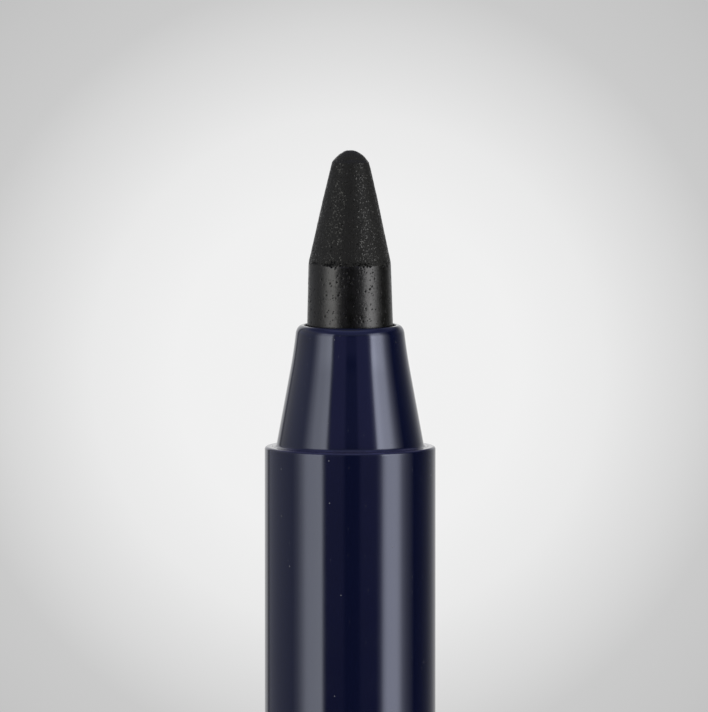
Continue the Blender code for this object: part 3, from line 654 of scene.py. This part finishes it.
def lead_black():
    """Waxy black lead: satin on the straight body, grainy matt with small glints on the cone."""
    made, nodes, shader, place = new_material("lead_black")
    skin = nodes.skin(place, LEAD_RADIUS)
    height = nodes.axes(place)["Z"]
    wobble = nodes.ramp(nodes.noise(skin, *EDGE_NOISE), *WIDE_SPAN, -EDGE_WOBBLE, EDGE_WOBBLE)
    level = nodes.math("ADD", height, wobble)
    cone = nodes.ramp(level, CONE_FOOT - EDGE_BLEND, CONE_FOOT + EDGE_BLEND)
    grain = nodes.noise(place, *GRAIN_NOISE)
    cloud = nodes.noise(place, *CLOUD_NOISE)
    streak = nodes.add("ShaderNodeMapping")
    nodes.link(skin, streak.inputs["Vector"])
    streak.inputs["Scale"].default_value = STREAK_SCALE
    streaks = nodes.noise(streak.outputs[0], 1.0)
    # Pits: sparse round ones on the straight body, fine faint ones on the cone, and the mesh's own.
    # Their mask dents the surface and also paints shade into them: a darker colour and a weaker gloss.
    modelled = nodes.add("ShaderNodeAttribute", attribute_name="pit_and_shade").outputs["Fac"]
    cone_share = nodes.math("MULTIPLY", cone, CONE_SPOT_SHARE)
    on_cone = nodes.math("MULTIPLY", nodes.spots(place, *CONE_SPOTS), cone_share)
    body_share = nodes.ramp(cone, 0.0, 1.0, COLLAR_SPOT_SHARE, 0.0)
    on_body = nodes.math("MULTIPLY", nodes.spots(skin, *COLLAR_SPOTS, flat=True), body_share)
    pits = nodes.math("MAXIMUM", nodes.math("ADD", on_body, on_cone), modelled)
    # Grit: tiny facets of wax and pigment, some of them glossy enough to glint.
    colour, chance = nodes.grit(place, GRIT_CELL)
    glint = nodes.math("LESS_THAN", chance, GLINT_SHARE)
    facet_tilt = nodes.ramp(glint, 0.0, 1.0, MATT_TILT, GLINT_TILT)
    tilt = nodes.math("MULTIPLY", nodes.ramp(cone, 0.0, 1.0, SATIN_TILT, 1.0), facet_tilt)
    tone = nodes.mix(cone, nodes.mix(cloud, *SATIN_TONES), nodes.mix(grain, *MATT_TONES))
    # Painted shade: the pits' base colour is darkened.
    nodes.link(nodes.mix(pits, tone, grey(PIT_SHADE_TONE)), shader.inputs["Base Color"])
    rough = nodes.add("ShaderNodeMix", data_type="FLOAT")
    satin_rough = nodes.ramp(nodes.math("ADD", cloud, streaks), *STREAK_SPAN, *SATIN_ROUGHNESS)
    matt_rough = nodes.ramp(grain, *MATT_SPAN, *MATT_ROUGHNESS)
    nodes.feed(rough.inputs["Factor"], cone)
    nodes.feed(rough.inputs["A"], satin_rough)
    nodes.feed(rough.inputs["B"], nodes.ramp(glint, 0.0, 1.0, matt_rough, GLINT_ROUGHNESS))
    pitted = nodes.ramp(pits, 0.0, 1.0, rough.outputs["Result"], PIT_ROUGHNESS)
    nodes.link(pitted, shader.inputs["Roughness"])
    tip = nodes.ramp(height, CONE_TOP, CONE_TOP + TIP_HEIGHT)
    cone_tint = nodes.mix(tip, nodes.mix(glint, MATT_TINT, GLINT_TINT), TIP_TINT)
    tint = nodes.mix(cone, SATIN_TINT, cone_tint)
    # Painted shade: the pits' gloss is weakened.
    nodes.link(nodes.mix(pits, tint, grey(PIT_SHADE_TINT)), shader.inputs["Specular Tint"])
    relief = nodes.math("MULTIPLY", grain, nodes.ramp(cone, 0.0, 1.0, SATIN_GRAIN, MATT_GRAIN))
    normal = nodes.bump(relief, GRAIN_HEIGHT, nodes.tipped(colour, tilt))
    nodes.link(nodes.bump(pits, PIT_BUMP, normal), shader.inputs["Normal"])
    shader.inputs["IOR"].default_value = LEAD_IOR
    return made


def inner_plastic(name, colour, rough):
    """Plain moulded plastic of the hidden pieces, with a faint mould grain."""
    made, nodes, shader, place = new_material(name)
    mottle = nodes.noise(place, *INNER_MOTTLE)
    dark = tuple(INNER_DARK_SHARE * c for c in colour) + (1.0,)
    nodes.link(nodes.mix(mottle, dark, (*colour, 1.0)), shader.inputs["Base Color"])
    smooth, coarse = rough - INNER_ROUGHNESS_SPREAD, rough + INNER_ROUGHNESS_SPREAD
    nodes.link(nodes.ramp(mottle, *WIDE_SPAN, smooth, coarse), shader.inputs["Roughness"])
    grain = nodes.noise(place, *INNER_GRAIN)
    nodes.link(nodes.bump(grain, INNER_GRAIN_HEIGHT), shader.inputs["Normal"])
    return made


# Pieces


def make_barrel(finish):
    nose_seat = NOSE_FOOT - SEAT_GAP
    collar_seat = COLLAR_TOP + SEAT_GAP
    corners = [
        (SEAT_BORE, BARREL_FOOT, 0),
        (SHELL_RADIUS, BARREL_FOOT, SHELL_END_ROUND),
        (SHELL_RADIUS, LEDGE, LEDGE_ROUND),
        (FLANGE_SEAT_BORE, LEDGE, LEDGE_BORE_ROUND),
        (FLANGE_SEAT_BORE, LEDGE - FLANGE_SEAT_DEPTH, 0),
        (SEAT_BORE, LEDGE - FLANGE_SEAT_DEPTH, 0),
    ]
    corners += reversed(snap_band(SEAT_BORE, SNAP_HEIGHT, LEDGE - SNAP_DROP, SNAP_GROOVE_HALF))
    corners += [
        (SEAT_BORE, nose_seat, 0),
        (BARREL_BORE, nose_seat, 0),
        (BARREL_BORE, collar_seat, 0),
        (SEAT_BORE, collar_seat, 0),
    ]
    outline = supported(rounded(corners))
    turned("barrel_shell", outline, SHELL_SEGMENTS, "barrel", "barrel", finish)


def lip():
    """The nose's rolled lip: a quarter of an oval that starts along the slope of the wall."""
    top = MOUTH - LIP_DROP
    first = math.atan(LIP_SLOPE * LIP_HEIGHT / LIP_WIDTH)
    middle = LIP_RADIUS - LIP_WIDTH * math.cos(first)
    points = []
    for k in range(LIP_STEPS + 1):
        angle = first + (math.pi / 2 - first) * k / LIP_STEPS
        r = middle + LIP_WIDTH * math.cos(angle)
        points.append((r, top - LIP_HEIGHT * (1 - math.sin(angle)), 0))
    return points


def make_nose(finish):
    flange_foot = LEDGE - FLANGE_SEAT_DEPTH + SEAT_GAP
    flange_top = LEDGE + NOSE_FLANGE_HEIGHT
    corners = [(SOCKET_RADIUS, NOSE_FOOT, 0), (SHANK_RADIUS, NOSE_FOOT, SHANK_ROUND)]
    corners += snap_band(SHANK_RADIUS, SNAP_HEIGHT, LEDGE - SNAP_DROP, SNAP_HALF)
    corners += [
        (SHANK_RADIUS, flange_foot, 0),
        (NOSE_FLANGE_RADIUS, flange_foot, 0),
        (NOSE_FLANGE_RADIUS, flange_top, NOSE_FLANGE_ROUND),
        (NOSE_FOOT_RADIUS, flange_top, NOSE_FOOT_FILLET),
        (NOSE_KNEE_RADIUS, MOUTH - NOSE_KNEE_DROP, NOSE_KNEE_ROUND),
    ]
    corners += lip()
    corners += [
        (NOSE_BORE, MOUTH - LIP_DROP, MOUTH_INNER_ROUND),
        (NOSE_BORE, LEDGE - SOCKET_ROOF, 0),
        (SOCKET_RADIUS, LEDGE - SOCKET_ROOF, 0),
    ]
    outline = supported(rounded(corners, most=NOSE_FILLET_SHARE))
    turned("nose_shell", outline, SHELL_SEGMENTS, "barrel", "nose_cone", finish)


def make_twist_base(finish):
    corners = [
        (PLUG_HOLE, 0, PLUG_ROUND),
        (SHELL_RADIUS, 0, BASE_TAIL_ROUND),
        (SHELL_RADIUS, BASE_RIM, SHELL_END_ROUND),
        (BASE_BORE, BASE_RIM, SHELL_END_ROUND),
        (BASE_BORE, BASE_FLOOR, 0),
        (PLUG_HOLE, BASE_FLOOR, 0),
    ]
    outline = supported(rounded(corners))
    turned("base_shell", outline, SHELL_SEGMENTS, "base", "twist_base", finish)


def make_end_plug(finish):
    """Plug with a small sunk mark of the mould's gate in its middle."""
    corners = [
        (0, PLUG_FOOT + PLUG_DIMPLE_DEPTH, 0),
        (PLUG_DIMPLE_RADIUS - PLUG_DIMPLE_DEPTH, PLUG_FOOT + PLUG_DIMPLE_DEPTH, PLUG_ROUND),
        (PLUG_DIMPLE_RADIUS, PLUG_FOOT, PLUG_ROUND),
        (PLUG_RADIUS, PLUG_FOOT, PLUG_ROUND),
        (PLUG_RADIUS, PLUG_TOP, 0),
        (PLUG_BORE, PLUG_TOP, 0),
        (PLUG_BORE, PLUG_FOOT + PLUG_FACE, 0),
        (0, PLUG_FOOT + PLUG_FACE, 0),
    ]
    turned("tail_plug", rounded(corners), SHELL_SEGMENTS, "base", "end_plug", finish)


def spaced(points):
    """The same outline with extra points: close ones where the lead shows, and closest on its cone."""
    out = [Vector(points[0][:2])]
    for point in points[1:]:
        start, end = out[-1].copy(), Vector(point[:2])
        step = LEAD_HIDDEN_STEP
        if end.y > CONE_FOOT or end.x < LEAD_SHOULDER_RADIUS:
            step = LEAD_CONE_STEP
        elif end.y > MOUTH:
            step = LEAD_COLLAR_STEP
        count = max(1, math.ceil((end - start).length / step))
        out += [start + (end - start) * (k / count) for k in range(1, count + 1)]
    return out


def lead_outline():
    """Root in the cup, straight body, slightly drafted collar, cone, shoulder and worn round tip."""
    root_top = CUP_RIM
    waist_foot = (LEAD_FOOT + root_top - LEAD_WAIST_LENGTH) / 2
    waist = LEAD_ROOT_RADIUS - LEAD_WAIST_DEPTH
    root = [
        (0, LEAD_FOOT),
        (LEAD_ROOT_RADIUS, LEAD_FOOT),
        (LEAD_ROOT_RADIUS, waist_foot),
        (waist, waist_foot + LEAD_WAIST_DEPTH),
        (waist, waist_foot + LEAD_WAIST_LENGTH - LEAD_WAIST_DEPTH),
        (LEAD_ROOT_RADIUS, waist_foot + LEAD_WAIST_LENGTH),
        (LEAD_ROOT_RADIUS, root_top + SEAT_GAP),
    ]
    body = [
        (LEAD_RADIUS, root_top + SEAT_GAP, 0),
        (LEAD_RADIUS, MOUTH - LEAD_HIDDEN_STEP, 0),
        (LEAD_RADIUS, MOUTH, 0),
        (LEAD_COLLAR_TOP_RADIUS, CONE_FOOT, LEAD_KINK_ROUND),
        (LEAD_BELLY_RADIUS, CONE_FOOT + LEAD_BELLY_HEIGHT, LEAD_BELLY_ROUND),
        (LEAD_SHOULDER_RADIUS, CONE_TOP, LEAD_SHOULDER_ROUND),
    ]
    # The worn tip is a low paraboloid with a small flat.
    for k in range(1, LEAD_DOME_STEPS + 1):
        r = LEAD_SHOULDER_RADIUS + (LEAD_FLAT_RADIUS - LEAD_SHOULDER_RADIUS) * k / LEAD_DOME_STEPS
        body.append((r, CONE_TOP + LEAD_DOME_HEIGHT * (1 - (r / LEAD_SHOULDER_RADIUS) ** 2), 0))
    body.append((0, body[-1][1], 0))
    return root + [tuple(p) for p in spaced(rounded(body))]


def make_lead(finish):
    obj = turned("lead_core", lead_outline(), LEAD_SEGMENTS, "carriage", "lead", finish)
    mesh = obj.data
    count = len(mesh.vertices)
    points = np.empty(count * 3)
    mesh.vertices.foreach_get("co", points)
    points = points.reshape(-1, 3)
    radius = np.hypot(points[:, 0], points[:, 1])
    angle = np.arctan2(points[:, 1], points[:, 0])
    height = points[:, 2]
    normals = np.empty(count * 3)
    mesh.vertices.foreach_get("normal", normals)
    normals = normals.reshape(-1, 3)
    body = height > CUP_RIM + GRAIN_FOOT

    def grain(layers):
        values = np.zeros(count)
        for rise, size, offset in layers:
            shift = Vector((offset, offset, offset))
            for i in np.flatnonzero(body):
                values[i] += rise * noise.noise(Vector(points[i]) / size + shift)
        return values

    def share(low, high):
        t = np.clip((height - low) / (high - low), 0, 1)
        return t * t * (3 - 2 * t)

    cone = share(*CONE_START)
    push = cone * grain(CONE_GRAIN) + (1 - cone) * grain(BODY_GRAIN) + share(*TIP_START) * grain(TIP_GRAIN)
    worn = share(*WEAR_START) * (1 - share(*WEAR_END))
    push -= WEAR_DEPTH * worn * np.clip(np.cos(angle), 0, 1) ** 2
    # Small pits from air in the cast lead, thickest in clusters where the cone meets the collar.
    pits = random.Random(PIT_SEED)

    def scatter(low, high, number):
        return [(pits.uniform(0, math.tau), pits.uniform(low, high)) for _ in range(number)]

    places = scatter(MOUTH - PITS_BELOW_MOUTH, CONE_FOOT, COLLAR_PITS)
    middles = [math.radians(degrees) for degrees in FRONT_CLUSTERS]
    middles += [pits.uniform(0, math.pi) for _ in range(BACK_CLUSTERS)]
    places += scatter(CONE_FOOT, CONE_TOP, CONE_PITS)
    scattered = len(places)
    for middle in middles:
        for _ in range(CLUSTER_PITS):
            turn = pits.gauss(middle, CLUSTER_WIDTH)
            places.append((turn, CONE_FOOT + pits.gauss(CLUSTER_RISE, CLUSTER_HEIGHT)))
    order = np.argsort(height)
    sorted_height = height[order]
    # Each pit also gets painted shade, darkest at its middle, kept in a mesh attribute for the shader.
    pit_and_shade = np.zeros(count)
    for i, (spot_angle, spot_height) in enumerate(places):
        least, extra = PIT_SIZE if i < scattered else CLUSTER_PIT_SIZE
        size = least + extra * pits.random() ** (SMALL_PITS if i < scattered else 1)
        first, last = np.searchsorted(sorted_height, (spot_height - size, spot_height + size))
        near = order[first:last]
        around = (np.mod(angle[near] - spot_angle + math.pi, math.tau) - math.pi) * radius[near]
        reach = np.hypot(around, height[near] - spot_height) / size
        push[near] -= PIT_DEPTH_SHARE * size * np.clip(1 - reach**2, 0, 1) ** PIT_PROFILE
        pit_and_shade[near] = np.maximum(pit_and_shade[near], np.clip(PIT_SHADE_SPREAD * (1 - reach), 0, 1))
    points += normals * push[:, None]
    points[:, 0] += np.where(body, np.interp(height, BEND_HEIGHTS, LEAD_BEND), 0)
    mesh.vertices.foreach_set("co", points.ravel())
    mesh.attributes.new("pit_and_shade", "FLOAT", "POINT").data.foreach_set("value", pit_and_shade)
    mesh.update()


def dress_inner_pieces():
    """Finishes for the CAD pieces that stay: all of them sit inside the shells."""
    white = inner_plastic("inner_white", INNER_WHITE, INNER_ROUGHNESS)
    dark = inner_plastic("inner_grey", INNER_GREY, INNER_ROUGHNESS)
    rubber = inner_plastic("brake_rubber", BRAKE_BLACK, BRAKE_ROUGHNESS)
    finishes = {
        "guide_tube": white,
        "helix_sleeve": white,
        "push_rod": white,
        "lead_cup": dark,
        "bearing_collar": dark,
        "base_core": dark,
        "brake_ring": rubber,
    }
    for node, finish in finishes.items():
        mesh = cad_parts[node].data
        mesh.materials.clear()
        mesh.materials.append(finish)


# Studio


def make_floor():
    """Pale disc under the pencil. It fades out, so that it has no edge against the background. From below
    it doesn't hide the pencil: its underside is clear, and it has a hole under the flat of the foot. Gloss
    shows it only faintly, so that the softboxes' streaks run down the whole barrel."""
    verts = []
    angles = [math.tau * k / FLOOR_SEGMENTS for k in range(FLOOR_SEGMENTS)]
    for i in range(FLOOR_RINGS + 1):
        r = FLOOR_HOLE + (FLOOR_RADIUS - FLOOR_HOLE) * i / FLOOR_RINGS
        verts += [(r * math.cos(turn), r * math.sin(turn), 0) for turn in angles]
    faces = []
    for i in range(FLOOR_RINGS):
        a = i * FLOOR_SEGMENTS
        b = a + FLOOR_SEGMENTS
        for k in range(FLOOR_SEGMENTS):
            j = (k + 1) % FLOOR_SEGMENTS
            faces.append((a + k, b + k, b + j, a + j))
    mesh = bpy.data.meshes.new("floor")
    mesh.from_pydata(verts, [], faces)
    floor = bpy.data.objects.new("floor", mesh)
    bpy.context.scene.collection.objects.link(floor)
    made, nodes, shader, place = new_material("floor_pale")
    shader.inputs["Base Color"].default_value = grey(FLOOR_TONE)
    shader.inputs["Roughness"].default_value = FLOOR_ROUGHNESS
    shader.inputs["Specular IOR Level"].default_value = FLOOR_SPECULAR
    fade = nodes.ramp(nodes.vector("LENGTH", place), *FLOOR_FADE, 1.0, 0.0)
    underside = nodes.add("ShaderNodeNewGeometry").outputs["Backfacing"]
    mirrored = nodes.add("ShaderNodeLightPath").outputs["Is Glossy Ray"]
    shown = nodes.math("MULTIPLY", fade, nodes.ramp(mirrored, 0.0, 1.0, 1.0, FLOOR_IN_GLOSS))
    nodes.link(nodes.ramp(underside, 0.0, 1.0, shown, 0.0), shader.inputs["Alpha"])
    mesh.materials.append(made)


def by_angle(nodes, angle, stops):
    """Light by azimuth or elevation. A stop is (degrees, radiance, tint)."""
    turn = nodes.math("DIVIDE", nodes.math("ADD", angle, 180.0), 360.0)
    colours = []
    for degrees, radiance, tint in stops:
        colour = tuple(radiance / MAX_RADIANCE * c for c in tint) + (1.0,)
        colours.append(((degrees + 180) / 360, colour))
    return nodes.vector("SCALE", nodes.stops(turn, colours), scale=MAX_RADIANCE)


def make_world():
    """Two tall softboxes left and right of the camera, dim cool panels in front with a dark slot between
    them, grey walls at the sides, a pale wall behind, and a plain pale background for the camera."""
    world = bpy.data.worlds.new("studio")
    bpy.context.scene.world = world
    world.use_nodes = True
    tree = world.node_tree
    tree.nodes.clear()
    nodes = Nodes(tree)
    direction = nodes.add("ShaderNodeTexCoord").outputs["Generated"]
    x, y, z = nodes.axes(direction)
    azimuth = nodes.math("DEGREES", nodes.math("ARCTAN2", x, nodes.math("MULTIPLY", y, -1.0)))
    elevation = nodes.math("DEGREES", nodes.math("ARCSINE", z))

    # How strong each light is at different heights
    box_top = nodes.ramp(azimuth, *BOX_TOP)
    below_top = nodes.ramp(elevation, box_top, nodes.math("ADD", box_top, BOX_FADE), 1.0, 0.0)
    box_upper = nodes.ramp(elevation, *BOX_UPPER)
    box_whole = nodes.math("MULTIPLY", nodes.ramp(elevation, *BOX_FOOT), box_upper)
    box_share = nodes.math("MULTIPLY", below_top, box_whole)
    edge_start = nodes.math("MULTIPLY", nodes.ramp(elevation, *EDGE_START, smooth=False), box_upper)
    edge_share = nodes.ramp(elevation, *EDGE_END, edge_start, 0.0)
    panel_upper = nodes.ramp(elevation, *PANEL_UPPER)
    panel_foot = nodes.ramp(elevation, *PANEL_FOOT, 0.0, panel_upper, smooth=False)
    panel_share = nodes.math("MULTIPLY", panel_foot, below_top)
    wall_foot = nodes.ramp(elevation, *WALL_FOOT, smooth=False)
    wall_level = nodes.ramp(elevation, *WALL_START, wall_foot, WALL_UPPER)
    wall_top = nodes.ramp(azimuth, *WALL_TOP)
    wall_end = nodes.math("ADD", wall_top, WALL_FADE)
    wall_share = nodes.ramp(elevation, wall_top, wall_end, wall_level, WALL_LAST)
    ceiling_share = nodes.ramp(nodes.math("ABSOLUTE", azimuth), *CEILING_SIDES)
    round_lights = [
        nodes.vector("SCALE", by_angle(nodes, azimuth, SOFTBOXES), scale=box_share),
        nodes.vector("SCALE", by_angle(nodes, azimuth, UPPER_EDGES), scale=edge_share),
        nodes.vector("SCALE", by_angle(nodes, azimuth, PANELS), scale=panel_share),
        nodes.vector("MULTIPLY", by_angle(nodes, azimuth, SLOT), by_angle(nodes, elevation, SLOT_HEIGHT)),
        nodes.vector("SCALE", by_angle(nodes, azimuth, WALLS), scale=wall_share),
    ]
    around = round_lights[0]
    for other in round_lights[1:]:
        around = nodes.vector("ADD", around, other)
    ceiling = nodes.vector("SCALE", by_angle(nodes, elevation, CEILING), scale=ceiling_share)

    # The lights are tinted at the heights that the shells mirror, and neutral where the lead mirrors them.
    low_tint = nodes.ramp(elevation, *LOW_TINT)
    high_start = nodes.ramp(elevation, *HIGH_TINT_START)
    high_tint = nodes.math("MULTIPLY", high_start, nodes.ramp(elevation, *HIGH_TINT_END))
    tint_share = nodes.math("ADD", low_tint, high_tint)
    light = nodes.vector("ADD", nodes.mix(tint_share, nodes.brightness(around), around), ceiling)

    # The camera sees a plain pale background, a little brighter behind the pencil in the photograph's view.
    drop = ELEVATION + GLOW_DROP_PX * PIXEL / CAMERA_DISTANCE
    centre = (GLOW_SHIFT_PX * PIXEL / CAMERA_DISTANCE, math.cos(drop), -math.sin(drop))
    offset = nodes.vector("LENGTH", nodes.vector("SUBTRACT", direction, centre))
    outward = nodes.math("DIVIDE", offset, GLOW_RADIUS_PX * PIXEL / CAMERA_DISTANCE)
    glow = nodes.stops(outward, [(position, grey(level)) for position, level in GLOW])
    seen = nodes.mix(nodes.ramp(offset, *GLOW_EDGE), glow, grey(BACKDROP))

    # Matt surfaces get the same light without its tints, and more of it from overhead.
    fill = nodes.math("ADD", nodes.brightness(light), nodes.ramp(elevation, *OVERHEAD))
    ray = nodes.add("ShaderNodeLightPath").outputs
    unseen = nodes.mix(ray["Is Glossy Ray"], fill, light)
    colour = nodes.mix(ray["Is Camera Ray"], unseen, seen)
    background = nodes.add("ShaderNodeBackground")
    nodes.link(colour, background.inputs["Color"])
    background.inputs["Strength"].default_value = 1.0
    output = nodes.add("ShaderNodeOutputWorld")
    nodes.link(background.outputs[0], output.inputs["Surface"])


def make_camera():
    camera = bpy.data.objects.new("camera", bpy.data.cameras.new("camera"))
    bpy.context.scene.collection.objects.link(camera)
    camera.data.sensor_width = SENSOR
    camera.data.lens = SENSOR * CAMERA_DISTANCE / (FRAME_HEIGHT_PX * PIXEL)
    camera.data.clip_start = CLIP_START
    camera.data.clip_end = CLIP_END
    rise = (LEDGE_Y_PX - FRAME_HEIGHT_PX / 2) * PIXEL / math.cos(ELEVATION)
    target = Vector(((FRAME_WIDTH_PX / 2 - AXIS_X_PX) * PIXEL, 0, LEDGE + rise))
    back = Vector((0, -math.cos(ELEVATION), math.sin(ELEVATION)))
    camera.location = target + back * CAMERA_DISTANCE
    camera.rotation_mode = "QUATERNION"
    camera.rotation_quaternion = (-back).to_track_quat("-Z", "Y")
    bpy.context.scene.camera = camera


def main():
    bpy.context.scene.view_settings.view_transform = "Standard"
    gloss = navy_gloss("navy_gloss", NAVY)
    make_barrel(gloss)
    # The nose gets the lighter navy: painted light from above.
    make_nose(navy_gloss("nose_navy_painted_light", NOSE_NAVY_WITH_PAINTED_LIGHT))
    make_twist_base(gloss)
    make_end_plug(gloss)
    make_lead(lead_black())
    dress_inner_pieces()
    make_floor()
    make_world()
    make_camera()


main()
